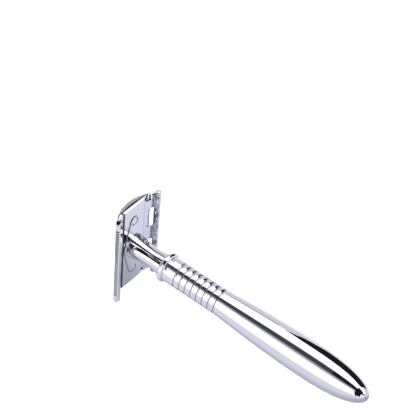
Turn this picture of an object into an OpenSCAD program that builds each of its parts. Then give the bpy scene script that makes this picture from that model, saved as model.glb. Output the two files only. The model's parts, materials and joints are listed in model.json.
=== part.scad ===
// Three-piece safety razor: domed cap, guard plate and a screwed-on handle
// with a ribbed grip. Each module is one physical piece. A standard double-edge
// blade goes between cap and plate; the razor is drawn with no blade loaded.
// The razor is drawn about its screw axis: x along the head, y across it,
// z from the handle up to the cap, 0 at the flat underside of the guard plate.
// rest_pose() then lays it down on the head's end and the belly of the handle.

/* [Head] */

// Length of the two safety bars, end to end, in mm
head_length = 46; // [38:0.5:56]
// Width of the head over the outsides of the two safety bars
head_width = 25.8; // [25:0.1:31]
// Length of the domed cap and of the plate under it
cap_length = 43.6; // [43:0.1:53]
// Width of the domed cap, edge to edge
cap_width = 19.8; // [18:0.1:20.4]
// Height of the cap's crown above the plate's flat underside
crown_height = 3.6; // [3.2:0.1:4.4]
// Radius of the cap's outer dome
dome_radius = 17.8; // [16:0.1:22]
// Thickness of the cap at its crown
cap_thickness = 1.8; // [1.5:0.1:2.1]

/* [Blade seat] */

// Thickness of the double-edge blade that the seat takes
blade_thickness = 0.1; // [0.08:0.01:0.12]
// Radius the blade is bent to when clamped
bend_radius = 32; // [26:0.5:40]
// Clearance left on each face of the blade
blade_gap = 0.05; // [0.03:0.01:0.08]
// Length of the blade's cutting edges
edge_length = 37.4; // [36.8:0.1:38]

/* [Guard plate] */

// Width of the flat centre block
block_width = 12; // [11:0.1:12.6]
// Thickness of the curved wings beside the block
wing_thickness = 0.65; // [0.5:0.05:1]
// Slope of the plate's end faces, in degrees
end_draft = 9; // [0:1:12]
// Radius of the half-round safety bars
bar_radius = 1.45; // [1.2:0.05:1.75]
// Height of each bar's centre below the flat underside
bar_drop = 2; // [1.8:0.05:2.4]
// Distance from each bar's centre down to its flat underside
bar_flat = 1.3; // [1:0.05:1.55]
// Chamfer at the ends of the bars
bar_chamfer = 0.5; // [0.2:0.05:0.7]
// Depth of the grooves between the bar's ridges
ridge_depth = 0.3; // [0.1:0.05:0.4]
// Pitch of the ridges along each bar
ridge_pitch = 1.27; // [1:0.01:1.6]
// Plain length left at each end of a bar
bar_plain_end = 3.9; // [3:0.1:6]
// Length of each lather slot
slot_length = 10.3; // [8:0.1:12.4]
// Width of each lather slot
slot_width = 2.3; // [1.8:0.1:2.8]
// Length of the bridge between two slots
bridge_length = 7.6; // [6:0.1:10]
// Gap between a corner lug and the blade's shoulder
lug_gap = 0.25; // [0.1:0.05:0.4]
// Width of the notch between a lug and the block
notch_width = 1; // [0.8:0.1:1.4]
// Height of the lugs above the blade
lug_rise = 0.15; // [0.1:0.05:0.25]
// Gap between the lugs and the pockets they enter in the cap
pocket_gap = 0.08; // [0.05:0.01:0.15]
// Width of a lug's raised part
lug_width = 2.2; // [1.8:0.1:2.4]
// Width of a lug's lower shelf outside the raised part
lug_shelf = 1; // [0.6:0.1:1.4]
// Height of the raised pad that the handle seats on
pad_height = 0.35; // [0.2:0.05:0.6]
// Margin of the pad around the neck's foot
pad_margin = 0.25; // [0.1:0.05:0.5]
// Margin of the pad around each pin
pad_pin_margin = 0.5; // [0.3:0.05:0.8]

/* [Screw and pins] */

// Thread diameter of the stud on the cap (M5)
stud_diameter = 5; // [4:0.5:6]
// Length of the stud below the flat underside
stud_length = 8; // [6.5:0.5:10]
// Lead-in at the tips of the stud and the pins
tip_chamfer = 0.4; // [0.2:0.1:0.6]
// Diameter of the two locating pins
pin_diameter = 3.6; // [3:0.1:4.4]
// Distance from the screw to each pin
pin_offset = 13.6; // [11.2:0.1:16.4]
// Step from stud or pin down to its root in the cap, on the radius
root_step = 0.35; // [0.2:0.05:0.5]
// Metal left over a root in the cap
root_cover = 0.6; // [0.4:0.05:0.8]
// Running clearance of the stud in its threaded bush, on the radius
thread_clearance = 0.05; // [0.02:0.01:0.1]
// Clearance of the stud in the plate, on the radius
stud_hole_clearance = 0.2; // [0.1:0.05:0.4]
// Clearance of the pins in the plate, on the radius
pin_hole_clearance = 0.1; // [0.05:0.05:0.2]
// Wall of the threaded bush
bush_wall = 0.75; // [0.6:0.05:0.9]
// Length of the threaded bush
bush_length = 10.6; // [9:0.1:12]
// Depth of the bush below the neck's seat
bush_recess = 0.4; // [0.2:0.1:0.8]

/* [Handle] */

// Length of the handle from the plate's underside to its rounded end
handle_length = 114; // [94:1:138]
// Diameter of the neck's foot
foot_diameter = 10.8; // [9.2:0.1:11.4]
// Diameter of the neck's waist
waist_diameter = 8.2; // [8:0.1:9]
// Diameter of the neck where it meets the collar
flare_diameter = 9.8; // [9:0.1:11.2]
// Distance from the plate down to the waist
waist_distance = 10; // [8:0.1:12]
// Length of the neck from the plate's underside to the collar
neck_length = 17; // [16:0.5:20.5]
// Diameter of the spigot that carries the collar ring
spigot_diameter = 6.8; // [6:0.1:7.6]
// Outside diameter of the collar ring
collar_diameter = 12.8; // [12.2:0.1:15.4]
// Thickness of the collar ring along the handle
collar_thickness = 2.6; // [2:0.1:3.1]
// Diameter of the ribbed grip
grip_diameter = 11; // [9.2:0.1:13.2]
// Plain length between the collar and the first groove
plain_length = 5.4; // [4:0.1:7]
// Depth of the grooves round the grip
groove_depth = 0.45; // [0.2:0.05:0.7]
// Crown of each rib between two grooves
rib_crown = 0.12; // [0:0.02:0.2]
// Pitch of the grooves round the grip
groove_pitch = 2.88; // [2.4:0.02:3.46]
// Number of grooves round the grip
groove_count = 8; // [6:1:10]
// Largest diameter of the handle's belly
belly_diameter = 14.3; // [13.2:0.1:17.2]
// Distance from the plate's underside to the widest part of the belly
belly_distance = 85.7; // [71:0.5:103]
// Diameter of the stud that joins neck and grip
joining_diameter = 4; // [3:0.5:5]
// Depth of the joining stud in the neck
joining_in_neck = 4; // [3:0.5:5]
// Depth of the joining stud in the grip
joining_in_grip = 8; // [6:0.5:12]

/* [Hidden] */

$fn = 96;
e = 0.01;

// the surfaces that clamp the blade share one axis of curvature
bend_z = crown_height - cap_thickness - (bend_radius + blade_thickness / 2 + blade_gap);
cap_in_r = bend_radius + blade_thickness / 2 + blade_gap;
plate_r = bend_radius - blade_thickness / 2 - blade_gap;
wing_in_r = plate_r - wing_thickness;
dome_z = crown_height - dome_radius;
plate_length = cap_length;
plate_top = crown_height - cap_thickness - blade_thickness - 2 * blade_gap;
block_half = block_width / 2;

// safety bars
bar_y = head_width / 2 - bar_radius;
bar_z = -bar_drop;
slot_in_y = bar_y - bar_radius - slot_width;
ridge_zone = head_length - 2 * bar_plain_end;
ridges = floor(ridge_zone / ridge_pitch);

// corner lugs that stand in the blade's cut corners
lug_x = edge_length / 2 + lug_gap;
lug_in_y = block_half + notch_width;
lug_mid_y = lug_in_y + lug_width;
lug_out_y = lug_mid_y + lug_shelf;
lug_slope = 13;
lug_bottom = -(lug_out_y - lug_in_y - 0.5) * tan(lug_slope) - 0.05;

// seats and screw
seat_z = -pad_height;
stud_r = stud_diameter / 2;
pin_r = pin_diameter / 2;
pad_r = foot_diameter / 2 + pad_margin;
pad_tip_r = pin_r + pad_pin_margin;
bush_in_r = stud_r + thread_clearance;
bush_r = bush_in_r + bush_wall;
bush_top = seat_z - bush_recess;
bush_end = bush_top - bush_length;
socket_z = crown_height - root_cover;
// underside of the cap above a round shoulder of radius r
function under_cap(r) = bend_z + sqrt(cap_in_r * cap_in_r - r * r) - e;

// handle stations, all negative: below the plate's underside
collar_top = -neck_length;
collar_end = collar_top - collar_thickness;
spigot_r = spigot_diameter / 2;
join_r = joining_diameter / 2;
join_top = collar_end + joining_in_neck + collar_thickness;
join_end = collar_end - joining_in_grip;
first_groove = collar_end - plain_length;
last_groove = first_groove - (groove_count - 1) * groove_pitch;
swell_start = last_groove - groove_pitch / 2;
grip_r = grip_diameter / 2;
belly_r = belly_diameter / 2;
belly_z = -belly_distance;
tip_z = -handle_length;

// the barrel's smooth outline, radius by station
function belly(z) =
  z > belly_z
    ? grip_r + (belly_r - grip_r) * sin(90 * (swell_start - z) / (swell_start - belly_z))
    : belly_r * sqrt(max(0, 1 - pow((belly_z - z) / (belly_z - tip_z), 2.7)));
steps_up = 26;
steps_end = 26;
outline = concat(
  [for (i = [1 : steps_up])
    let (z = swell_start + (belly_z - swell_start) * i / steps_up) [belly(z), z]],
  [for (i = [1 : steps_end - 1])
    let (z = belly_z + (tip_z - belly_z) * sin(90 * i / steps_end)) [belly(z), z]]);

// tilt at which the head's lower end and the barrel's belly touch one floor
function point_low(x, z, t) = -x * cos(t) + z * sin(t);
function head_low(t) =
  min(point_low(head_length / 2, bar_z - bar_radius + bar_chamfer, t),
      point_low(plate_length / 2, lug_bottom, t));
function barrel_low(t) = min([for (p = outline) p[1] * sin(t) - p[0] * cos(t)]);
function level(lo, hi, n) =
  n == 0 ? (lo + hi) / 2
         : let (t = (lo + hi) / 2)
           barrel_low(t) > head_low(t) ? level(t, hi, n - 1) : level(lo, t, n - 1);
tilt = level(0, 30, 30);
floor_z = head_low(tilt);
x_low = min(-cap_length / 2 * sin(tilt) - crown_height * cos(tilt),
            -head_length / 2 * sin(tilt) + (bar_drop - bar_radius + bar_chamfer) * cos(tilt));
x_high = max([for (p = outline) p[0] * sin(tilt) - p[1] * cos(tilt)]);

module rest_pose() {
  translate([-(x_low + x_high) / 2, 0, -floor_z])
    rotate([0, tilt - 90, 0])
      children();
}

// a round bar lying along x
module along(r, len, y = 0, z = 0) {
  translate([-len / 2, y, z]) rotate([0, 90, 0]) cylinder(r = r, h = len, $fn = 180);
}

module block(x, y, z0, z1) {
  translate([-x / 2, -y / 2, z0]) cube([x, y, z1 - z0]);
}

module corners() {
  for (sx = [0, 1], sy = [0, 1]) mirror([sx, 0, 0]) mirror([0, sy, 0]) children();
}

module cap() {
  color([0.85, 0.86, 0.88]) rest_pose()
    difference() {
      intersection() {
        along(dome_radius, cap_length, 0, dome_z);
        block(cap_length, cap_width, -2, crown_height + 1);
      }
      along(cap_in_r, cap_length + 2, 0, bend_z);
      // pockets over the plate's corner lugs
      corners()
        intersection() {
          along(cap_in_r + lug_rise + pocket_gap, cap_length + 2, 0, bend_z);
          translate([lug_x - pocket_gap, lug_in_y - pocket_gap, -3])
            cube([cap_length, lug_width + 2 * pocket_gap, 8]);
        }
      // sockets for the roots of the stud and the pins
      translate([0, 0, -2]) cylinder(r = stud_r - root_step, h = socket_z + 2);
      for (sx = [-1, 1])
        translate([sx * pin_offset, 0, -2]) cylinder(r = pin_r - root_step, h = socket_z + 2);
    }
}

// a round post: tip at z0, shoulder under the cap, root up in the cap's socket
module post(r, z0) {
  translate([0, 0, z0]) cylinder(r1 = r - tip_chamfer, r2 = r, h = tip_chamfer);
  translate([0, 0, z0 + tip_chamfer]) cylinder(r = r, h = under_cap(r) - z0 - tip_chamfer);
  translate([0, 0, z0 + tip_chamfer]) cylinder(r = r - root_step, h = socket_z - z0 - tip_chamfer);
}

module cap_stud() {
  color([0.72, 0.73, 0.75]) rest_pose() post(stud_r, -stud_length);
}

module cap_pins() {
  color([0.78, 0.79, 0.81]) rest_pose()
    for (sx = [-1, 1]) translate([sx * pin_offset, 0, 0]) post(pin_r, seat_z + 0.05);
}

// one half-round safety bar with its ridges on the top and the outer side
module bar() {
  difference() {
    union() {
      along(bar_radius, head_length - 2 * bar_chamfer, bar_y, bar_z);
      for (s = [0, 1])
        mirror([s, 0, 0]) translate([head_length / 2 - bar_chamfer, bar_y, bar_z])
          rotate([0, 90, 0])
            cylinder(r1 = bar_radius, r2 = bar_radius - bar_chamfer, h = bar_chamfer);
    }
    translate([-head_length, bar_y - 3, bar_z - bar_flat - 2]) cube([2 * head_length, 6, 2]);
    for (i = [0 : ridges - 1])
      translate([(i - (ridges - 1) / 2) * ridge_pitch - ridge_pitch / 4, bar_y, bar_z])
        difference() {
          rotate([-35, 0, 0]) translate([0, -2, 0]) cube([ridge_pitch / 2, 4, 2]);
          translate([-1, 0, 0]) rotate([0, 90, 0])
            cylinder(r = bar_radius - ridge_depth, h = ridge_pitch + 2, $fn = 48);
        }
  }
}

// thickened corner of the plate, standing beside the blade's tab
module lug() {
  difference() {
    intersection() {
      along(cap_in_r + lug_rise, plate_length, 0, bend_z);
      translate([lug_x, lug_in_y, -3])
        cube([plate_length / 2 - lug_x, lug_width + lug_shelf, 6]);
    }
    // the shelf outside the raised part stays below the cap's edge
    difference() {
      translate([lug_x - 1, lug_mid_y, -4]) cube([plate_length, 4, 8]);
      along(plate_r, plate_length + 2, 0, bend_z);
    }
    // sloping underside
    translate([0, lug_in_y + 0.5, -0.05]) rotate([-lug_slope, 0, 0])
      translate([0, -3, -5]) cube([plate_length, 9, 5]);
  }
}

module base_plate() {
  color([0.8, 0.81, 0.83]) rest_pose()
    difference() {
      union() {
        difference() {
          union() {
            // centre block and wings
            difference() {
              intersection() {
                along(plate_r, plate_length, 0, bend_z);
                block(plate_length, 2 * bar_y - 0.5, -5, 3);
              }
              difference() {
                along(wing_in_r, plate_length + 2, 0, bend_z);
                block(plate_length + 4, block_width, 0, 4);
              }
              // notches between the block's ends and the corner lugs
              corners() translate([lug_x, block_half, -5]) cube([plate_length, notch_width, 10]);
              // lather slots
              corners() translate([bridge_length / 2, slot_in_y, -6])
                cube([slot_length, bar_y - slot_in_y, 9]);
            }
            corners() lug();
          }
          // sloping end faces
          for (s = [0, 1]) mirror([s, 0, 0])
            translate([plate_length / 2, 0, plate_top]) rotate([0, end_draft, 0])
              translate([0, -20, -8]) cube([4, 40, 12]);
        }
        for (s = [0, 1]) mirror([0, s, 0]) bar();
        pad();
      }
      translate([0, 0, -5]) cylinder(r = stud_r + stud_hole_clearance, h = 10);
      for (sx = [-1, 1])
        translate([sx * pin_offset, 0, -5]) cylinder(r = pin_r + pin_hole_clearance, h = 10);
    }
}

// long pad under the block: round in the middle for the neck, tapering to each pin
module pad() {
  a = asin((pad_r - pad_tip_r) / pin_offset);
  // the straight sides run just inside the rounds, so that they cross and don't only touch
  big_in = pad_r - 0.02;
  tip_in = pad_tip_r - 0.02;
  big = [big_in * sin(a), big_in * cos(a)];
  tip = [pin_offset + tip_in * sin(a), tip_in * cos(a)];
  translate([0, 0, -pad_height]) {
    cylinder(r = pad_r, h = pad_height + 0.5);
    for (s = [-1, 1]) translate([s * pin_offset, 0, 0])
      cylinder(r = pad_tip_r, h = pad_height + 0.5);
    linear_extrude(pad_height + 0.5)
      polygon([tip, big, [-big[0], big[1]], [-tip[0], tip[1]],
               -tip, -big, [big[0], -big[1]], [tip[0], -tip[1]]]);
  }
}

module thread_bush() {
  color([0.8, 0.65, 0.35]) rest_pose()
    difference() {
      translate([0, 0, bush_end]) cylinder(r = bush_r, h = bush_length);
      translate([0, 0, bush_end - 1]) cylinder(r = bush_in_r, h = bush_length + 2);
    }
}

// hourglass neck with a spigot that carries the collar ring
module neck() {
  foot = foot_diameter / 2;
  waist = waist_diameter / 2;
  flare = flare_diameter / 2;
  at_waist = (waist_distance + seat_z - 0.5) / (neck_length + seat_z - 0.5);
  n = 20;
  side = [for (i = [0 : n])
    let (u = i / n, z = seat_z - 0.5 - (neck_length + seat_z - 0.5) * u,
         k = u < at_waist ? pow(1 - u / at_waist, 1.7) * (foot - waist)
                          : pow((u - at_waist) / (1 - at_waist), 1.7) * (flare - waist))
      [waist + k, z]];
  color([0.83, 0.84, 0.86]) rest_pose()
    rotate_extrude($fn = 128)
      polygon(concat(
        [[bush_r, seat_z], [foot - 0.1, seat_z], [foot, seat_z - 0.1]],
        side,
        [[spigot_r, collar_top], [spigot_r, collar_end], [join_r, collar_end],
         [join_r, join_top], [0, join_top], [0, bush_end], [bush_r, bush_end]]));
}

module collar_ring() {
  bead = collar_thickness / 2;
  color([0.83, 0.84, 0.86]) rest_pose()
    translate([0, 0, collar_top - bead])
      rotate_extrude($fn = 128) {
        translate([spigot_r, -bead]) square([collar_diameter / 2 - bead - spigot_r, 2 * bead]);
        intersection() {
          translate([collar_diameter / 2 - bead, 0]) circle(r = bead, $fn = 48);
          translate([spigot_r, -bead]) square([20, 2 * bead]);
        }
      }
}

module joining_stud() {
  color([0.7, 0.71, 0.73]) rest_pose()
    translate([0, 0, join_end + 0.5]) cylinder(r = join_r, h = join_top - join_end - 0.5);
}

// turned barrel: plain top, cushioned ribs, then a long smooth swell to a round end
module grip_barrel() {
  seg = 6;
  top = [[grip_r - 0.35, collar_end], [grip_r - 0.05, collar_end - 0.4],
         [grip_r, collar_end - 1], [grip_r, first_groove + 1.0],
         [grip_r - rib_crown, first_groove + 0.3]];
  ribs = [for (g = [0 : groove_count - 1])
    each concat(
      [[grip_r - groove_depth, first_groove - g * groove_pitch]],
      g == groove_count - 1 ? [] :
      [for (i = [1 : seg - 1])
        let (u = 2 * i / seg - 1)
          [grip_r - rib_crown * u * u,
           first_groove - g * groove_pitch - 0.25 - (groove_pitch - 0.5) * i / seg]])];
  after = [[grip_r - rib_crown, last_groove - 0.3], [grip_r, last_groove - 0.9]];
  color([0.84, 0.85, 0.87]) rest_pose()
    rotate_extrude($fn = 160)
      polygon(concat(top, ribs, after, outline,
        [[0, tip_z], [0, join_end], [join_r, join_end], [join_r, collar_end]]));
}

cap();
cap_stud();
cap_pins();
base_plate();
thread_bush();
neck();
collar_ring();
joining_stud();
grip_barrel();
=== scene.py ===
# Three-piece safety razor, chrome plated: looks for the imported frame.
# Pieces are modelled in millimetres about the razor's own screw axis, with the
# head above and the handle below, and are then laid down on the frame's axis.
import json
import math
import bmesh
import bpy
from mathutils import Matrix, Vector


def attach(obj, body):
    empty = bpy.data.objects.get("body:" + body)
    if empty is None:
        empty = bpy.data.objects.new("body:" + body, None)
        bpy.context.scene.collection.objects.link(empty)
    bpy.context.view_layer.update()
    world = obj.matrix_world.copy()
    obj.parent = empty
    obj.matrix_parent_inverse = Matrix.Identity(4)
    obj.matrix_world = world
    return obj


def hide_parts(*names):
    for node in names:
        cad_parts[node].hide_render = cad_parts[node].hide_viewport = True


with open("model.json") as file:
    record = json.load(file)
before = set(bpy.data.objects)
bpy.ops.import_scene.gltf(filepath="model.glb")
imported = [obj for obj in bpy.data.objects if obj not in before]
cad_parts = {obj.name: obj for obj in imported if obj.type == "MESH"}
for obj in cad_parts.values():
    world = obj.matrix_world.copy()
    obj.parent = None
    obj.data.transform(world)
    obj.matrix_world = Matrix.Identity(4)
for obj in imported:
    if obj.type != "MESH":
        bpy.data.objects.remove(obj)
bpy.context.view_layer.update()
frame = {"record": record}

TURN = 2 * math.pi

# ---------------------------------------------------------------- the razor's axis
head_turn = next(j for j in frame["record"]["behaviour"]["joints"] if j["name"] == "head_turn")
toward_cap = Vector(head_turn["axis"]).normalized()
along_head = Vector((toward_cap.z, 0, -toward_cap.x))
across_head = Vector((0, 1, 0))
LAID = Matrix((
    (along_head.x, across_head.x, toward_cap.x, head_turn["pos_m"][0]),
    (along_head.y, across_head.y, toward_cap.y, head_turn["pos_m"][1]),
    (along_head.z, across_head.z, toward_cap.z, head_turn["pos_m"][2]),
    (0, 0, 0, 1)))

# ---------------------------------------------------------------- sizes in mm
# The head: the cap over a standard blade, the plate under it, all about one bend.
HEAD_LENGTH, HEAD_WIDTH = 46.0, 25.8
CAP_LENGTH, CAP_WIDTH, CAP_THICK = 43.6, 19.8, 1.8
CROWN, DOME_R = 3.6, 17.8
BEND_R, BLADE, BLADE_GAP = 32.0, 0.1, 0.05
CAP_IN_R = BEND_R + BLADE / 2 + BLADE_GAP
PLATE_R = BEND_R - BLADE / 2 - BLADE_GAP
BEND_Z = CROWN - CAP_THICK - CAP_IN_R
PLATE_TOP = BEND_Z + PLATE_R
WING_THICK, END_DRAFT = 0.65, 9.0
WING_IN_R = PLATE_R - WING_THICK
BLOCK_HALF = 6.0
# The bars, the slots and the lugs of the plate.
BAR_R, BAR_DROP, BAR_FLAT = 1.45, 2.0, 1.3
BAR_Y = HEAD_WIDTH / 2 - BAR_R
RIDGE_PITCH, RIDGE_DEPTH, RIDGES = 1.27, 0.3, 30
SLOT_X, SLOT_LENGTH, SLOT_WIDTH, SLOT_ROUND = 3.8, 10.3, 2.3, 0.45
SLOT_Y = BAR_Y - BAR_R - SLOT_WIDTH
LUG_X, LUG_Y, LUG_WIDTH, LUG_SHELF, LUG_SLOPE, LUG_RISE = 18.95, 7.0, 2.2, 1.0, 13.0, 0.15
POCKET_GAP = 0.08
# The raised pad, and the stud and pins that pass through the plate.
PAD, PAD_R, PAD_TIP_R = 0.35, 5.65, 2.3
PIN_X, PIN_R, PIN_HOLE_GAP = 13.6, 1.8, 0.1
STUD_R, STUD_LENGTH, STUD_HOLE_GAP, THREAD_PITCH = 2.5, 8.0, 0.2, 0.8
CAP_ROOT = CROWN - 0.6
# The handle, downwards from the plate.
FOOT_R, WAIST_R, FLARE_R, WAIST_Z = 5.4, 4.1, 4.9, -10.0
COLLAR_TOP, COLLAR_END, COLLAR_R, SPIGOT_R = -17.0, -19.6, 6.4, 3.4
BUSH_TOP, BUSH_END, BUSH_R, BUSH_BORE_R = -0.75, -11.35, 3.3, 2.56
JOIN_R, JOIN_TOP, JOIN_LOW, JOIN_BORE_END = 2.0, -13.0, -27.1, -27.6
FIRST_GROOVE, GROOVE_PITCH, GROOVES, GROOVE_DEPTH = -25.0, 2.88, 8, 0.43
LAST_GROOVE = FIRST_GROOVE - (GROOVES - 1) * GROOVE_PITCH
GRIP_R, BELLY_R, BELLY_Z, TIP = 5.5, 7.15, -85.7, -114.0
SWELL = LAST_GROOVE - GROOVE_PITCH / 2


# ---------------------------------------------------------------- modelling helpers
def clear_selection():
    if bpy.context.object and bpy.context.object.mode != "OBJECT":
        bpy.ops.object.mode_set(mode="OBJECT")
    bpy.ops.object.select_all(action="DESELECT")


def edit(piece):
    clear_selection()
    piece.select_set(True)
    bpy.context.view_layer.objects.active = piece
    bpy.ops.object.mode_set(mode="EDIT")


def pick(piece, kind, test):
    """Selects only the vertices, edges or faces that pass a test on their own place or normal."""
    bpy.ops.mesh.select_mode(type=kind)
    bpy.ops.mesh.select_all(action="DESELECT")
    mesh = bmesh.from_edit_mesh(piece.data)
    for part in {"VERT": mesh.verts, "EDGE": mesh.edges, "FACE": mesh.faces}[kind]:
        if test(part):
            part.select = True
    mesh.select_flush_mode()
    bmesh.update_edit_mesh(piece.data)


def first_point(x, y, z):
    clear_selection()
    bpy.ops.mesh.primitive_plane_add(size=1)
    piece = bpy.context.object
    bpy.ops.object.mode_set(mode="EDIT")
    bpy.ops.mesh.select_all(action="SELECT")
    bpy.ops.mesh.merge(type="CENTER")
    bpy.ops.mesh.select_mode(type="VERT")
    bpy.ops.mesh.select_all(action="SELECT")
    bpy.ops.transform.translate(value=(x, y, z))
    return piece


def draw_line(points):
    """One vertex pulled from point to point in edit mode."""
    piece = first_point(*points[0])
    for a, b in zip(points, points[1:]):
        bpy.ops.mesh.extrude_region_move(
            TRANSFORM_OT_translate={"value": (b[0] - a[0], b[1] - a[1], b[2] - a[2])})
    return piece


def outward(piece):
    bpy.ops.mesh.select_all(action="SELECT")
    bpy.ops.mesh.remove_doubles(threshold=0.0005)
    bpy.ops.mesh.normals_make_consistent(inside=False)


def turned(outline, steps=192, closed=False):
    """A lathe piece: the outline (radius, height) spun once about the screw axis."""
    points = [(r, 0, z) for r, z in outline]
    piece = draw_line(points + points[:1] if closed else points)
    bpy.ops.mesh.select_all(action="SELECT")
    bpy.ops.mesh.spin(steps=steps, angle=TURN, center=(0, 0, 0), axis=(0, 0, 1))
    outward(piece)
    bpy.ops.object.mode_set(mode="OBJECT")
    return piece


def pulled(section, x0, x1):
    """A section drawn across the head (y, z), filled and pulled along the head."""
    piece = draw_line([(x0, y, z) for y, z in section])
    bpy.ops.mesh.select_all(action="SELECT")
    bpy.ops.mesh.edge_face_add()
    bpy.ops.mesh.extrude_region_move(TRANSFORM_OT_translate={"value": (x1 - x0, 0, 0)})
    outward(piece)
    bpy.ops.object.mode_set(mode="OBJECT")
    return piece


def brick(x0, x1, y0, y1, z0, z1, round_edges=0.0):
    clear_selection()
    bpy.ops.mesh.primitive_cube_add(
        size=1, location=((x0 + x1) / 2, (y0 + y1) / 2, (z0 + z1) / 2),
        scale=(x1 - x0, y1 - y0, z1 - z0))
    piece = bpy.context.object
    bpy.ops.object.transform_apply(location=True, rotation=True, scale=True)
    if round_edges:
        edit(piece)
        pick(piece, "EDGE", lambda s: abs(s.verts[0].co.z - s.verts[1].co.z) > 0.01)
        bpy.ops.mesh.bevel(offset=round_edges, segments=5)
        bpy.ops.object.mode_set(mode="OBJECT")
    return piece


def rod(r, z0, z1, x=0.0, y=0.0, vertices=96):
    clear_selection()
    bpy.ops.mesh.primitive_cylinder_add(
        radius=r, depth=z1 - z0, vertices=vertices, location=(x, y, (z0 + z1) / 2))
    bpy.ops.object.transform_apply(location=True, rotation=True, scale=True)
    return bpy.context.object


def use_modifier(piece, kind, **settings):
    clear_selection()
    piece.select_set(True)
    bpy.context.view_layer.objects.active = piece
    step = piece.modifiers.new(kind.title(), kind)
    for key, value in settings.items():
        setattr(step, key, value)
    bpy.ops.object.modifier_apply(modifier=step.name)


def join_solid(piece, tool, how):
    use_modifier(piece, "BOOLEAN", operation=how, object=tool, solver="EXACT")
    bpy.data.objects.remove(tool)


def mirrored(piece, x=1, y=1):
    """A mirrored copy with its own mesh."""
    clear_selection()
    piece.select_set(True)
    bpy.context.view_layer.objects.active = piece
    bpy.ops.object.duplicate()
    copy = bpy.context.object
    copy.scale = (x, y, 1)
    bpy.ops.object.transform_apply(location=False, rotation=False, scale=True)
    edit(copy)
    outward(copy)
    bpy.ops.object.mode_set(mode="OBJECT")
    return copy


def ease_edges(piece, width, angle=28, segments=3):
    use_modifier(piece, "BEVEL", width=width, segments=segments, limit_method="ANGLE",
                 angle_limit=math.radians(angle), use_clamp_overlap=False,
                 miter_outer="MITER_ARC")


def smooth(piece, angle=32, weighted=True):
    clear_selection()
    piece.select_set(True)
    bpy.context.view_layer.objects.active = piece
    bpy.ops.object.shade_smooth_by_angle(angle=math.radians(angle))
    if weighted:
        use_modifier(piece, "WEIGHTED_NORMAL", weight=100, keep_sharp=True)


def lay_down(piece, name, body, cad_node, finish):
    """Scales a finished piece to metres, lays it on the frame's axis and lets it ride."""
    clear_selection()
    piece.select_set(True)
    bpy.context.view_layer.objects.active = piece
    piece.matrix_world = LAID @ Matrix.Scale(0.001, 4)
    bpy.ops.object.transform_apply(location=True, rotation=True, scale=True)
    piece.name = name
    piece.data.name = name
    if finish:
        piece.data.materials.clear()
        piece.data.materials.append(finish)
    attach(piece, body)
    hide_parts(cad_node)
    return piece


def arc(cx, cz, r, a0, a1, n):
    return [(cx + r * math.cos(math.radians(a0 + (a1 - a0) * i / n)),
             cz + r * math.sin(math.radians(a0 + (a1 - a0) * i / n))) for i in range(n + 1)]


# ---------------------------------------------------------------- finishes
def node(tree, kind, **settings):
    made = tree.nodes.new(kind)
    for key, value in settings.items():
        setattr(made, key, value)
    return made


def sum_of(tree, operation, a, b=0.0, clamp=False):
    """One step of arithmetic between two shader values or constants."""
    made = node(tree, "ShaderNodeMath", operation=operation, use_clamp=clamp)
    for socket, value in zip(made.inputs, (a, b)):
        if isinstance(value, (int, float)):
            socket.default_value = value
        else:
            tree.links.new(value, socket)
    return made.outputs[0]


def how_deep(tree, a, b, outside, inside):
    """0 at the outside radius and beyond, 1 at the inside radius and within."""
    square = sum_of(tree, "ADD", sum_of(tree, "MULTIPLY", a, a), sum_of(tree, "MULTIPLY", b, b))
    short = sum_of(tree, "SUBTRACT", outside, sum_of(tree, "SQRT", square))
    return sum_of(tree, "DIVIDE", short, outside - inside, clamp=True)


def grip_groove_shade_and_residue(tree, place):
    """Where a point lies inside the grip's grooves: painted shade there, with a little polish residue.
    """
    split = node(tree, "ShaderNodeSeparateXYZ")
    tree.links.new(place, split.inputs[0])
    x, y, z = split.outputs
    between = sum_of(tree, "MULTIPLY", sum_of(tree, "LESS_THAN", z, FIRST_GROOVE + 0.4),
                     sum_of(tree, "GREATER_THAN", z, LAST_GROOVE - 0.4))
    return sum_of(tree, "MULTIPLY", how_deep(tree, x, y, GRIP_R - 0.2, GRIP_R - 0.42), between)


def bar_ridge_shade(tree, place):
    """Where a point lies between the ridges of either guard bar, or in patches on the side of the
    bar that faces the plate: both take painted shade."""
    split = node(tree, "ShaderNodeSeparateXYZ")
    tree.links.new(place, split.inputs[0])
    x, y, z = split.outputs
    y = sum_of(tree, "SUBTRACT", sum_of(tree, "ABSOLUTE", y), BAR_Y)
    z = sum_of(tree, "ADD", z, BAR_DROP)
    between = sum_of(tree, "MULTIPLY",
                     sum_of(tree, "LESS_THAN", sum_of(tree, "ABSOLUTE", x), RIDGES / 2 * RIDGE_PITCH),
                     sum_of(tree, "GREATER_THAN", z, -1.2))
    ridged = sum_of(tree, "MULTIPLY", how_deep(tree, y, z, BAR_R - 0.08, BAR_R - 0.22), between)
    # Painted shade falls in patches on the bar's side that faces the plate.
    patches = node(tree, "ShaderNodeTexNoise")
    patches.inputs["Scale"].default_value = 0.45
    tree.links.new(place, patches.inputs["Vector"])
    above = sum_of(tree, "SUBTRACT", patches.outputs["Fac"], 0.38)
    patch = sum_of(tree, "MULTIPLY", above, 4.0, clamp=True)
    inner = sum_of(tree, "MULTIPLY", sum_of(tree, "LESS_THAN", y, -0.3), patch)
    return sum_of(tree, "MAXIMUM", ridged, sum_of(tree, "MULTIPLY", inner, 0.75))


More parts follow.
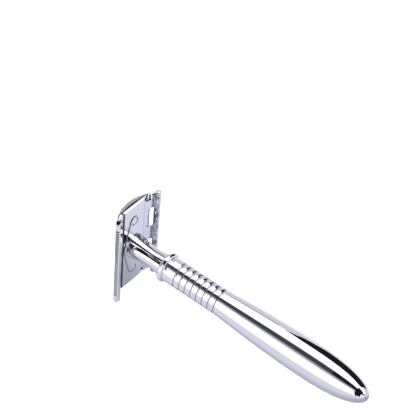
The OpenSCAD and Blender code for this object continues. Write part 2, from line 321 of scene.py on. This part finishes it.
def plate_step_shade(tree, place):
    """Where a point lies on the low steps round the plate's pad and along its thick middle,
    which take painted shade."""
    split = node(tree, "ShaderNodeSeparateXYZ")
    tree.links.new(place, split.inputs[0])
    y, z = sum_of(tree, "ABSOLUTE", split.outputs["Y"]), split.outputs["Z"]

    def inside(value, low, high):
        return sum_of(tree, "MULTIPLY", sum_of(tree, "GREATER_THAN", value, low),
                      sum_of(tree, "LESS_THAN", value, high))

    pad_step = sum_of(tree, "MULTIPLY", inside(z, -PAD + 0.06, -0.02), inside(y, -1, 5.7))
    block_step = sum_of(tree, "MULTIPLY", inside(z, -0.04, 0.6),
                        inside(y, BLOCK_HALF - 0.2, BLOCK_HALF + 0.05))
    return sum_of(tree, "ADD", pad_step, block_step, clamp=True)


def metal(name, light, dull, smoothest, roughest, ring_scale, ring_depth, grooves=None, tone=None):
    """Plated or machined metal: a faint drift of tint, uneven polish and fine tool marks
    round the screw axis, and painted shade: a darker tone down in any grooves."""
    finish = bpy.data.materials.new(name)
    finish.use_nodes = True
    tree = finish.node_tree
    shader = tree.nodes["Principled BSDF"]
    shader.inputs["Metallic"].default_value = 1.0
    link = tree.links.new
    place = node(tree, "ShaderNodeTexCoord")
    back = LAID.inverted()
    to_axis = node(tree, "ShaderNodeMapping")
    to_axis.inputs["Location"].default_value = back.translation * 1000
    to_axis.inputs["Rotation"].default_value = back.to_euler()
    to_axis.inputs["Scale"].default_value = (1000, 1000, 1000)
    link(place.outputs["Object"], to_axis.inputs["Vector"])
    drift = node(tree, "ShaderNodeTexNoise")
    drift.inputs["Scale"].default_value = 0.12
    drift.inputs["Detail"].default_value = 3
    link(to_axis.outputs["Vector"], drift.inputs["Vector"])
    tint = node(tree, "ShaderNodeMix", data_type="RGBA")
    tint.inputs["A"].default_value = (*light, 1)
    tint.inputs["B"].default_value = (*dull, 1)
    link(drift.outputs["Fac"], tint.inputs["Factor"])
    colour = tint.outputs["Result"]
    # The darker tone mixed in here is painted shade in grooves, ridges and steps.
    if grooves:
        groove_shade = node(tree, "ShaderNodeMix", data_type="RGBA")
        groove_shade.inputs["B"].default_value = (*tone, 1)
        link(grooves(tree, to_axis.outputs["Vector"]), groove_shade.inputs["Factor"])
        link(colour, groove_shade.inputs["A"])
        colour = groove_shade.outputs["Result"]
    link(colour, shader.inputs["Base Color"])
    stretch = node(tree, "ShaderNodeMapping")
    stretch.inputs["Scale"].default_value = (1.0, 1.0, ring_scale)
    link(to_axis.outputs["Vector"], stretch.inputs["Vector"])
    marks = node(tree, "ShaderNodeTexNoise")
    marks.inputs["Scale"].default_value = 0.6
    marks.inputs["Detail"].default_value = 5
    link(stretch.outputs["Vector"], marks.inputs["Vector"])
    polish = node(tree, "ShaderNodeMapRange")
    polish.inputs["From Min"].default_value = 0.35
    polish.inputs["From Max"].default_value = 0.75
    polish.inputs["To Min"].default_value = smoothest
    polish.inputs["To Max"].default_value = roughest
    link(marks.outputs["Fac"], polish.inputs["Value"])
    link(polish.outputs["Result"], shader.inputs["Roughness"])
    dent = node(tree, "ShaderNodeBump")
    dent.inputs["Strength"].default_value = ring_depth
    dent.inputs["Distance"].default_value = 0.00002
    link(marks.outputs["Fac"], dent.inputs["Height"])
    link(dent.outputs["Normal"], shader.inputs["Normal"])
    return finish


CHROME = {"light": (0.85, 0.86, 0.9), "dull": (0.8, 0.81, 0.86), "smoothest": 0.015,
          "roughest": 0.05, "ring_scale": 2.0, "ring_depth": 0.03}
bright_chrome = metal("bright_chrome", **CHROME)
# The grip's grooves are darkened with painted shade, which also stands for a little polish residue.
grip_chrome = metal("grip_chrome", **CHROME, grooves=grip_groove_shade_and_residue, tone=(0.16, 0.16, 0.19))
# The low steps round the plate's pad and middle are darkened with painted shade.
plate_chrome = metal("plate_chrome", **CHROME, grooves=plate_step_shade, tone=(0.1, 0.1, 0.13))
# The bars' ridges and their sides by the plate are darkened near black with painted shade.
bar_chrome = metal("bar_chrome", **CHROME, grooves=bar_ridge_shade, tone=(0.05, 0.05, 0.06))
stud_steel = metal("stud_steel", (0.6, 0.61, 0.64), (0.46, 0.47, 0.5), 0.16, 0.34, 14.0, 0.4)
bush_brass = metal("bush_brass", (0.78, 0.6, 0.3), (0.62, 0.44, 0.2), 0.16, 0.32, 14.0, 0.4)

# ---------------------------------------------------------------- handle
def belly(z):
    if z > BELLY_Z:
        return GRIP_R + (BELLY_R - GRIP_R) * math.sin(math.pi / 2 * (SWELL - z) / (SWELL - BELLY_Z))
    return BELLY_R * max(0.0, 1 - ((BELLY_Z - z) / (BELLY_Z - TIP)) ** 2.7) ** 0.5


TOP_EASE, CUSHION = 0.35, 0.13
barrel = [(JOIN_R, COLLAR_END), (GRIP_R - TOP_EASE, COLLAR_END)]
barrel += arc(GRIP_R - TOP_EASE, COLLAR_END - TOP_EASE, TOP_EASE, 80, 0, 5)
barrel += [(GRIP_R, COLLAR_END - 2), (GRIP_R, COLLAR_END - 4), (GRIP_R, FIRST_GROOVE + 0.62),
           (GRIP_R - 0.03, FIRST_GROOVE + 0.42), (GRIP_R - 0.1, FIRST_GROOVE + 0.28),
           (GRIP_R - 0.24, FIRST_GROOVE + 0.17), (GRIP_R - 0.4, FIRST_GROOVE + 0.07)]
for g in range(GROOVES):
    z0 = FIRST_GROOVE - g * GROOVE_PITCH
    barrel += [(GRIP_R - GROOVE_DEPTH, z0)]
    if g < GROOVES - 1:
        barrel += [(GRIP_R - 0.38, z0 - 0.08), (GRIP_R - 0.24, z0 - 0.17)]
        barrel += [(GRIP_R - CUSHION * abs(u) ** 2.4, z0 - GROOVE_PITCH / 2 * (1 + u * 0.82))
                   for u in [-1 + 2 * i / 12 for i in range(13)]]
        barrel += [(GRIP_R - 0.24, z0 - GROOVE_PITCH + 0.17), (GRIP_R - 0.38, z0 - GROOVE_PITCH + 0.08)]
barrel += [(GRIP_R - 0.4, LAST_GROOVE - 0.07), (GRIP_R - 0.24, LAST_GROOVE - 0.17),
           (GRIP_R - 0.1, LAST_GROOVE - 0.28), (GRIP_R - 0.03, LAST_GROOVE - 0.45),
           (GRIP_R, LAST_GROOVE - 0.9)]
SKIN = 0.005
swell = [SWELL + (BELLY_Z - SWELL) * i / 44 for i in range(1, 45)]
closing = [BELLY_Z + (TIP + SKIN - BELLY_Z) * math.sin(math.pi / 2 * i / 60) for i in range(1, 60)]
barrel += [(belly(z) - SKIN, z) for z in swell + closing]
barrel += [(0, TIP + SKIN), (0, JOIN_BORE_END), (JOIN_R, JOIN_BORE_END)]
grip = turned(barrel, 224, closed=True)
smooth(grip, 40, weighted=False)
lay_down(grip, "ribbed_grip_barrel", "handle", "grip_barrel", grip_chrome)

FOOT_EASE, FOOT_BAND = 0.2, 0.5
AT_WAIST = (WAIST_Z + PAD + FOOT_BAND) / (COLLAR_TOP + PAD + FOOT_BAND)


def neck_radius(u):
    """The neck's radius at a share u of its way from the foot to the collar."""
    if u < AT_WAIST:
        return WAIST_R + pow(1 - u / AT_WAIST, 1.7) * (FOOT_R - WAIST_R)
    return WAIST_R + pow((u - AT_WAIST) / (1 - AT_WAIST), 1.7) * (FLARE_R - WAIST_R)


neck_line = [(BUSH_R, -PAD), (FOOT_R - 0.25, -PAD)]
neck_line += arc(FOOT_R - FOOT_EASE, -PAD - FOOT_EASE, FOOT_EASE, 80, 0, 5)
neck_line += [(neck_radius(i / 60), -PAD - FOOT_BAND + (COLLAR_TOP + PAD + FOOT_BAND) * i / 60)
              for i in range(61)]
neck_line += [(SPIGOT_R, COLLAR_TOP), (SPIGOT_R, COLLAR_END), (JOIN_R, COLLAR_END),
              (JOIN_R, JOIN_TOP), (0, JOIN_TOP), (0, BUSH_END), (BUSH_R, BUSH_END)]
neck = turned(neck_line, 192, closed=True)
smooth(neck, 40, weighted=False)
lay_down(neck, "hourglass_neck", "handle", "neck", bright_chrome)

bead = (COLLAR_TOP - COLLAR_END) / 2
collar_line = [(SPIGOT_R, COLLAR_TOP), (COLLAR_R - bead, COLLAR_TOP)]
collar_line += arc(COLLAR_R - bead, COLLAR_TOP - bead, bead, 86, -86, 28)
collar_line += [(COLLAR_R - bead, COLLAR_END), (SPIGOT_R, COLLAR_END)]
collar = turned(collar_line, 192, closed=True)
smooth(collar, 40, weighted=False)
lay_down(collar, "collar_ring_bead", "handle", "collar_ring", bright_chrome)


def threaded(r, pitch, z0, z1, depth, inside=False):
    """A real helix: one thread's outline climbed round the axis, standing in from a bore if
    inside, and otherwise out from a core."""
    root = r + depth if inside else r - depth
    turns = int((z1 - z0) / pitch) - 1
    start = z0 + ((z1 - z0) - turns * pitch) / 2 - pitch / 2
    crest = 0.12 * pitch
    piece = draw_line([(root, 0, start), (r, 0, start + pitch / 2 - crest / 2),
                       (r, 0, start + pitch / 2 + crest / 2), (root, 0, start + pitch)])
    bpy.ops.object.mode_set(mode="OBJECT")
    use_modifier(piece, "SCREW", axis="Z", angle=TURN, screw_offset=pitch, steps=48,
                 render_steps=48, iterations=turns, use_merge_vertices=True, merge_threshold=0.001)
    return piece


def stack(pieces):
    if len(pieces) == 1:
        return pieces[0]
    clear_selection()
    for p in pieces:
        p.select_set(True)
    bpy.context.view_layer.objects.active = pieces[0]
    bpy.ops.object.join()
    return bpy.context.object


def under_cap(r):
    return BEND_Z + math.sqrt(CAP_IN_R ** 2 - r * r) - 0.01


CORE_R = STUD_R - 0.48
stud_top = under_cap(STUD_R)
stud_core = turned([(0, -STUD_LENGTH), (1.5, -STUD_LENGTH), (CORE_R, -STUD_LENGTH + 0.4),
                    (CORE_R, -0.6), (2.2, -0.4), (2.45, 0.0), (STUD_R, 0.1), (STUD_R, stud_top - 0.1),
                    (STUD_R - 0.08, stud_top), (STUD_R - 0.35, stud_top), (STUD_R - 0.35, CAP_ROOT),
                    (0, CAP_ROOT)], 96)
stud_thread = threaded(STUD_R - 0.02, THREAD_PITCH, -STUD_LENGTH + 0.3, 0.0, 0.46)
stud = stack([stud_core, stud_thread])
smooth(stud, 40, weighted=False)
lay_down(stud, "threaded_cap_stud", "cap", "cap_stud", stud_steel)


def pin(side):
    top, low, tip_round = under_cap(PIN_R), -PAD + 0.05, 0.4
    line = [(0, low), (PIN_R - tip_round, low)]
    line += arc(PIN_R - tip_round, low + tip_round, tip_round, -80, 0, 6)
    line += [(PIN_R, top - 0.05), (PIN_R - 0.05, top), (PIN_R - 0.35, top),
             (PIN_R - 0.35, CAP_ROOT), (0, CAP_ROOT)]
    made = turned(line, 96)
    edit(made)
    bpy.ops.mesh.select_all(action="SELECT")
    bpy.ops.transform.translate(value=(side * PIN_X, 0, 0))
    bpy.ops.object.mode_set(mode="OBJECT")
    return made


pins = stack([pin(-1), pin(1)])
smooth(pins, 40, weighted=False)
lay_down(pins, "locating_pins", "cap", "cap_pins", bright_chrome)

bush_ease, bush_wall = 0.1, 0.33
bush_body = turned([(BUSH_BORE_R, BUSH_TOP), (BUSH_R - bush_ease, BUSH_TOP),
                    (BUSH_R, BUSH_TOP - bush_ease), (BUSH_R, BUSH_END + bush_ease),
                    (BUSH_R - bush_ease, BUSH_END), (BUSH_R - bush_wall, BUSH_END),
                    (BUSH_R - bush_wall, BUSH_TOP - 0.2)], 96, closed=True)
bush_thread = threaded(BUSH_BORE_R, THREAD_PITCH, BUSH_END + 0.15, BUSH_TOP - 0.15, 0.42, inside=True)
edit(bush_thread)
bpy.ops.mesh.select_all(action="SELECT")
bpy.ops.mesh.flip_normals()
bpy.ops.object.mode_set(mode="OBJECT")
bush = stack([bush_body, bush_thread])
smooth(bush, 40, weighted=False)
lay_down(bush, "brass_thread_bush", "handle", "thread_bush", bush_brass)

join_core = turned([(0, JOIN_LOW), (1.3, JOIN_LOW), (1.66, JOIN_LOW + 0.35),
                    (1.66, JOIN_TOP - 0.35), (1.3, JOIN_TOP), (0, JOIN_TOP)], 72)
join_thread = threaded(JOIN_R - 0.02, 0.7, JOIN_LOW + 0.2, JOIN_TOP - 0.2, 0.34)
joining = stack([join_core, join_thread])
smooth(joining, 40, weighted=False)
lay_down(joining, "neck_joining_stud", "handle", "joining_stud", stud_steel)

# ---------------------------------------------------------------- cap
half = CAP_WIDTH / 2
lean = math.degrees(math.asin(half / DOME_R))
lean_in = math.degrees(math.asin(half / CAP_IN_R))
cap_line = arc(0, CROWN - DOME_R, DOME_R, 90 - lean, 90 + lean, 64)
cap_line += arc(0, BEND_Z, CAP_IN_R, 90 + lean_in, 90 - lean_in, 40)
cap = pulled(cap_line, -CAP_LENGTH / 2, CAP_LENGTH / 2)
for sx in (-1, 1):
    for sy in (-1, 1):
        y0, y1 = sorted((sy * (LUG_Y - POCKET_GAP), sy * (LUG_Y + LUG_WIDTH + POCKET_GAP)))
        x0, x1 = sorted((sx * (LUG_X - POCKET_GAP), sx * (CAP_LENGTH / 2 + 1)))
        roof_r = CAP_IN_R + LUG_RISE + POCKET_GAP
        top = BEND_Z + math.sqrt(roof_r ** 2 - (LUG_Y + LUG_WIDTH / 2) ** 2)
        join_solid(cap, brick(x0, x1, y0, y1, -3, top), "DIFFERENCE")
ease_edges(cap, 0.16)
smooth(cap, 34)
lay_down(cap, "domed_cap", "cap", "cap", bright_chrome)

# ---------------------------------------------------------------- guard plate
def curve_z(r, y):
    return BEND_Z + math.sqrt(r * r - y * y)


edge_y = BAR_Y - 0.25
across = [edge_y * (1 - 2 * i / 60) for i in range(61)]
plate_line = [(y, curve_z(PLATE_R, y)) for y in across]
wing = [BLOCK_HALF + (edge_y - BLOCK_HALF) * i / 12 for i in range(13)]
plate_line += [(-y, curve_z(WING_IN_R, y)) for y in reversed(wing)]
plate_line += [(-BLOCK_HALF, 0.0), (BLOCK_HALF, 0.0)]
plate_line += [(y, curve_z(WING_IN_R, y)) for y in wing]
plate = pulled(plate_line, -CAP_LENGTH / 2, CAP_LENGTH / 2)
for sx in (-1, 1):
    for sy in (-1, 1):
        a, b = sorted((sx * LUG_X, sx * (CAP_LENGTH / 2 + 2)))
        c, d = sorted((sy * BLOCK_HALF, sy * LUG_Y))
        join_solid(plate, brick(a, b, c, d, -5, 5), "DIFFERENCE")
        a, b = sorted((sx * SLOT_X, sx * (SLOT_X + SLOT_LENGTH)))
        c, d = sorted((sy * SLOT_Y, sy * (BAR_Y + 1.5)))
        join_solid(plate, brick(a, b, c, d, -6, 3, round_edges=SLOT_ROUND), "DIFFERENCE")


def lug(sx, sy):
    out_y = LUG_Y + LUG_WIDTH
    far_y = out_y + LUG_SHELF
    rise = [LUG_Y + LUG_WIDTH * i / 5 for i in range(6)]
    shelf = [out_y + LUG_SHELF * i / 3 for i in range(4)]
    line = [(y, curve_z(CAP_IN_R + LUG_RISE, y)) for y in rise]
    line += [(y, curve_z(PLATE_R, y)) for y in shelf]
    drop = math.tan(math.radians(LUG_SLOPE))
    low, knee = -0.05, 0.5
    line += [(far_y, low - (far_y - LUG_Y - knee) * drop), (LUG_Y + knee, low),
             (LUG_Y, low + knee * drop)]
    return pulled([(sy * y, z) for y, z in line], sx * LUG_X, sx * CAP_LENGTH / 2)


for sx in (-1, 1):
    for sy in (-1, 1):
        join_solid(plate, lug(sx, sy), "UNION")


def sloped_end(side):
    edit(plate)
    bpy.ops.mesh.select_all(action="SELECT")
    slope = math.radians(END_DRAFT)
    bpy.ops.mesh.bisect(plane_co=(side * CAP_LENGTH / 2, 0, PLATE_TOP),
                        plane_no=(side * math.cos(slope), 0, -math.sin(slope)),
                        use_fill=True, clear_outer=True, threshold=0.0005)
    outward(plate)
    bpy.ops.object.mode_set(mode="OBJECT")


sloped_end(1)
sloped_end(-1)


def seat_pad():
    """The raised leaf under the plate: round at the neck, tapering to each pin."""
    turn = math.asin((PAD_R - PAD_TIP_R) / PIN_X)
    start = math.degrees(turn)
    right = [(PIN_X + x, y) for x, y in arc(0, 0, PAD_TIP_R, -90 + start, 90 - start, 20)]
    top = arc(0, 0, PAD_R, 90 - start, 90 + start, 10)
    left = [(-x, -y) for x, y in right]
    low = [(-x, -y) for x, y in top]
    outline = right + top + left + low
    piece = draw_line([(x, y, 0.2) for x, y in outline])
    bpy.ops.mesh.select_all(action="SELECT")
    bpy.ops.mesh.edge_face_add()
    bpy.ops.mesh.extrude_region_move(TRANSFORM_OT_translate={"value": (0, 0, -0.2 - PAD)})
    outward(piece)
    bpy.ops.object.mode_set(mode="OBJECT")
    return piece


join_solid(plate, seat_pad(), "UNION")
join_solid(plate, rod(STUD_R + STUD_HOLE_GAP, -5, 5), "DIFFERENCE")
for sx in (-1, 1):
    join_solid(plate, rod(PIN_R + PIN_HOLE_GAP, -5, 5, x=sx * PIN_X), "DIFFERENCE")
ease_edges(plate, 0.1, segments=2)
smooth(plate, 34)


# One ridge: the share of the pitch reached at each ring, and how much of the groove's depth it has.
RIDGE = ((0.2, 0.0), (0.25, 0.2), (0.29, 0.64), (0.33, 0.92), (0.4, 1.0), (0.6, 1.0),
         (0.67, 0.92), (0.71, 0.64), (0.75, 0.2), (0.8, 0.0), (1.0, 0.0))
# A bar's rounded end: the distance short of the end, and the share of the section left there.
BAR_END = ((0.9, 1.0), (0.68, 0.985), (0.46, 0.94), (0.28, 0.87), (0.13, 0.79), (0.04, 0.72),
           (0.0, 0.65))


def ridged_bar():
    """One half-round guard bar: a single ridge is shaped, repeated along the bar, and the
    plain ends are pulled from it."""
    clear_selection()
    start = -RIDGES / 2 * RIDGE_PITCH
    bpy.ops.mesh.primitive_circle_add(vertices=56, radius=BAR_R, fill_type="NOTHING",
                                      location=(start, BAR_Y, -BAR_DROP), rotation=(0, math.pi / 2, 0))
    piece = bpy.context.object
    bpy.ops.object.transform_apply(location=True, rotation=True, scale=True)
    edit(piece)
    for v in bmesh.from_edit_mesh(piece.data).verts:
        v.co.z = max(v.co.z, -BAR_DROP - BAR_FLAT)

    def shape_ring(x, depth):
        mesh = bmesh.from_edit_mesh(piece.data)
        for v in mesh.verts:
            if abs(v.co.x - x) < 1e-4:
                angle = math.degrees(math.atan2(v.co.z + BAR_DROP, v.co.y - BAR_Y)) % 360
                if angle > 270:
                    angle -= 360
                fade = min(1, max(0, (angle + 50) / 12)) * min(1, max(0, (148 - angle) / 14))
                full = BAR_R if v.co.z > -BAR_DROP - BAR_FLAT + 1e-4 else \
                    Vector((v.co.y - BAR_Y, v.co.z + BAR_DROP)).length
                r = full - depth * fade
                now = Vector((v.co.y - BAR_Y, v.co.z + BAR_DROP))
                now = now.normalized() * r
                v.co.y, v.co.z = BAR_Y + now.x, -BAR_DROP + now.y
        bmesh.update_edit_mesh(piece.data)

    x = start
    for part, depth in RIDGE:
        step = start + part * RIDGE_PITCH - x
        pick(piece, "VERT", lambda v: abs(v.co.x - x) < 1e-4)
        bpy.ops.mesh.extrude_region_move(TRANSFORM_OT_translate={"value": (step, 0, 0)})
        x += step
        shape_ring(x, depth * RIDGE_DEPTH)
    bpy.ops.object.mode_set(mode="OBJECT")
    use_modifier(piece, "ARRAY", count=RIDGES, use_relative_offset=False, use_constant_offset=True,
                 constant_offset_displace=(RIDGE_PITCH, 0, 0), use_merge_vertices=True,
                 merge_threshold=0.001)
    for side in (-1, 1):
        edit(piece)
        x = side * RIDGES / 2 * RIDGE_PITCH
        last, factor = x, 1.0
        for inset, scale in BAR_END:
            goal = side * (HEAD_LENGTH / 2 - inset)
            pick(piece, "VERT", lambda v: abs(v.co.x - last) < 2e-3)
            bpy.ops.mesh.extrude_region_move(TRANSFORM_OT_translate={"value": (goal - last, 0, 0)})
            bpy.ops.transform.resize(value=(1, scale / factor, scale / factor),
                                     center_override=(goal, BAR_Y, -BAR_DROP))
            last, factor = goal, scale
        bpy.ops.mesh.edge_face_add()
        bpy.ops.object.mode_set(mode="OBJECT")
    edit(piece)
    outward(piece)
    bpy.ops.object.mode_set(mode="OBJECT")
    return piece


bar = ridged_bar()
smooth(bar, 40, weighted=False)
other_bar = mirrored(bar, y=-1)
smooth(other_bar, 40, weighted=False)
plate.data.materials.clear()
plate.data.materials.append(plate_chrome)
for guard_bar in (bar, other_bar):
    guard_bar.data.materials.clear()
    guard_bar.data.materials.append(bar_chrome)
plate = stack([plate, bar, other_bar])
lay_down(plate, "guard_plate", "guard", "base_plate", None)


# ---------------------------------------------------------------- studio
def stage_finish(name, colour, strength=None, roughness=0.6):
    finish = bpy.data.materials.new(name)
    finish.use_nodes = True
    tree = finish.node_tree
    if strength is None:
        shader = tree.nodes["Principled BSDF"]
        shader.inputs["Base Color"].default_value = (*colour, 1)
        shader.inputs["Roughness"].default_value = roughness
    else:
        tree.nodes.remove(tree.nodes["Principled BSDF"])
        glow = tree.nodes.new("ShaderNodeEmission")
        glow.inputs["Color"].default_value = (*colour, 1)
        glow.inputs["Strength"].default_value = strength
        tree.links.new(glow.outputs[0], tree.nodes["Material Output"].inputs["Surface"])
    return finish


def table_top(name, height, colour, strength=None):
    clear_selection()
    bpy.ops.mesh.primitive_plane_add(size=8, location=(0, 0, height))
    top = bpy.context.object
    top.name = name
    top.data.materials.append(stage_finish(name, colour, strength))
    return top


def dim_under_handle(finish, dim, bright):
    """Shades a glowing floor along the line under the razor, as its own shadow would, and lets
    it brighten towards the lit sides of the table."""
    tree = finish.node_tree
    place = node(tree, "ShaderNodeTexCoord")
    split = node(tree, "ShaderNodeSeparateXYZ")
    tree.links.new(place.outputs["Object"], split.inputs[0])
    away = node(tree, "ShaderNodeMapRange", interpolation_type="SMOOTHSTEP")
    away.inputs["From Min"].default_value = 0.0
    away.inputs["From Max"].default_value = 0.022
    tree.links.new(sum_of(tree, "ABSOLUTE", split.outputs["Y"]), away.inputs["Value"])
    shade = node(tree, "ShaderNodeMix", data_type="RGBA")
    glow = tree.nodes["Emission"]
    shade.inputs["A"].default_value = (*dim, 1)
    shade.inputs["B"].default_value = tuple(glow.inputs["Color"].default_value)
    tree.links.new(away.outputs["Result"], shade.inputs["Factor"])
    far = node(tree, "ShaderNodeMapRange")
    far.inputs["From Min"].default_value = 0.04
    far.inputs["From Max"].default_value = 0.3
    tree.links.new(sum_of(tree, "ABSOLUTE", split.outputs["Y"]), far.inputs["Value"])
    lit = node(tree, "ShaderNodeMix", data_type="RGBA")
    lit.inputs["B"].default_value = (*bright, 1)
    tree.links.new(far.outputs["Result"], lit.inputs["Factor"])
    tree.links.new(shade.outputs["Result"], lit.inputs["A"])
    tree.links.new(lit.outputs["Result"], glow.inputs["Color"])


# One floor is lit for the eye, and the other, a little greyer, glows as the floor the chrome sees, with
# a painted shadow under the razor.
floor = table_top("pale_floor", -0.0002, (0.94, 0.945, 0.96))
floor.visible_glossy = False
floor.visible_diffuse = False
floor.visible_shadow = False
mirror_floor = table_top("floor_in_the_chrome", -0.0004, (0.78, 0.79, 0.89), 1.0)
dim_under_handle(mirror_floor.data.materials[0], (0.4, 0.41, 0.49), (1.0, 1.0, 1.04))
mirror_floor.visible_camera = False
mirror_floor.visible_diffuse = False
mirror_floor.visible_shadow = False

GRIP_DIR = -toward_cap
UP_DIR = along_head


def studio_card(name, columns, distance, colour, strength=1.0):
    """A card bent round the handle and seen only in reflections. Each column is a bearing round
    the handle, 0 level on the far side and 90 overhead, and the two leans along it that the card
    runs between, towards the grip's end if positive."""
    def place(bearing, lean_on):
        turn = math.radians(bearing)
        out = across_head * math.cos(turn) + UP_DIR * math.sin(turn) + GRIP_DIR * lean_on
        return tuple(out * distance)

    faces = []
    for (b0, f0, t0), (b1, f1, t1) in zip(columns, columns[1:]):
        face = draw_line([place(b0, f0), place(b1, f1), place(b1, t1), place(b0, t0)])
        bpy.ops.mesh.select_all(action="SELECT")
        bpy.ops.mesh.edge_face_add()
        bpy.ops.object.mode_set(mode="OBJECT")
        faces.append(face)
    card = stack(faces)
    card.name = name
    card.data.materials.append(stage_finish(name, colour, strength))
    card.visible_camera = False
    card.visible_shadow = False
    card.visible_diffuse = False
    return card


def strip_card(name, low, high, lean_from, lean_to, distance, colour, strength=1.0):
    steps = max(1, round((high - low) / 12))
    return studio_card(name, [(low + (high - low) * i / steps, lean_from, lean_to)
                              for i in range(steps + 1)], distance, colour, strength)


WHITE, BLACK = (1.0, 1.0, 1.0), (0.012, 0.012, 0.016)
strip_card("far_softbox", 44, 98, -1.7, 1.5, 1.0, WHITE, 1.5)
strip_card("near_softbox", 130, 186, -1.7, 2.4, 1.0, WHITE, 1.5)
strip_card("flag_outer", 94.5, 137, -1.7, 2.0, 0.96, (0.72, 0.72, 0.77))
strip_card("flag_middle", 96, 130, -1.7, 2.0, 0.93, (0.34, 0.34, 0.38))
strip_card("flag_core_head", 98, 122, -1.7, 0.0, 0.9, (0.06, 0.06, 0.07))
strip_card("flag_core_grip", 98, 122, 0.0, 2.0, 0.9, BLACK)
strip_card("far_edge_line", 36, 41.5, -1.7, -0.36, 0.9, (0.18, 0.18, 0.21))
studio_card("end_flag", [(-4, -0.2, 0.5), (8, -0.24, 0.54), (20, -0.28, 0.56), (34, -0.3, 0.58),
                         (46, -0.34, 0.6), (50, -0.28, 0.61), (54, 0.1, 0.62), (60, 0.4, 0.64)],
            0.85, BLACK)
studio_card("grip_end_flag", [(80, 0.64, 1.3), (110, 0.62, 1.3), (140, 0.62, 1.3), (165, 0.64, 1.3),
                              (182, 0.7, 1.3)], 0.84, BLACK)
cap_end_card = strip_card("cap_end_card", 43, 61, -0.66, -0.36, 0.22, (0.46, 0.48, 0.53))
cap_end_card.location = (-0.055, 0, 0.045)
neck_flag = studio_card("neck_flag", [(100, -0.9, -0.2), (126, -0.9, -0.1), (154, -0.8, 0.0)],
                        0.03, BLACK)
neck_flag.location = head_turn["pos_m"]
neck_flag.location += GRIP_DIR * 0.009
strip_card("head_side_flag", 15, 160, -3.2, -1.75, 0.8, BLACK)

world = bpy.data.worlds.new("studio_room")
bpy.context.scene.world = world
world.use_nodes = True
room = world.node_tree.nodes["Background"]
room.inputs["Color"].default_value = (0.7, 0.71, 0.78, 1)
room.inputs["Strength"].default_value = 1.0


def soft_light(name, place, aim, size, power):
    clear_selection()
    bpy.ops.object.light_add(type="AREA", location=place)
    lamp = bpy.context.object
    lamp.name = name
    lamp.data.shape = "SQUARE"
    lamp.data.size = size
    lamp.data.energy = power
    lamp.visible_glossy = False
    lamp.data.use_shadow = False
    lamp.rotation_euler = (Vector(aim) - Vector(place)).to_track_quat("-Z", "Y").to_euler()
    return lamp


soft_light("overhead_light", (0.0, 0.1, 1.3), (0, 0, 0), 1.6, 30)
soft_light("near_light", (-0.7, -0.9, 0.8), (0, 0, 0), 1.0, 3)

# ---------------------------------------------------------------- camera
clear_selection()
bpy.ops.object.camera_add(location=(0.22072, -0.26567, 0.34311),
                          rotation=(math.radians(51.287), math.radians(3.073), math.radians(38.687)))
camera = bpy.context.object
camera.name = "product_camera"
camera.data.sensor_width = 36
camera.data.lens = 106.76
camera.data.clip_start = 0.01
bpy.context.scene.camera = camera
bpy.context.scene.view_settings.view_transform = "Standard"
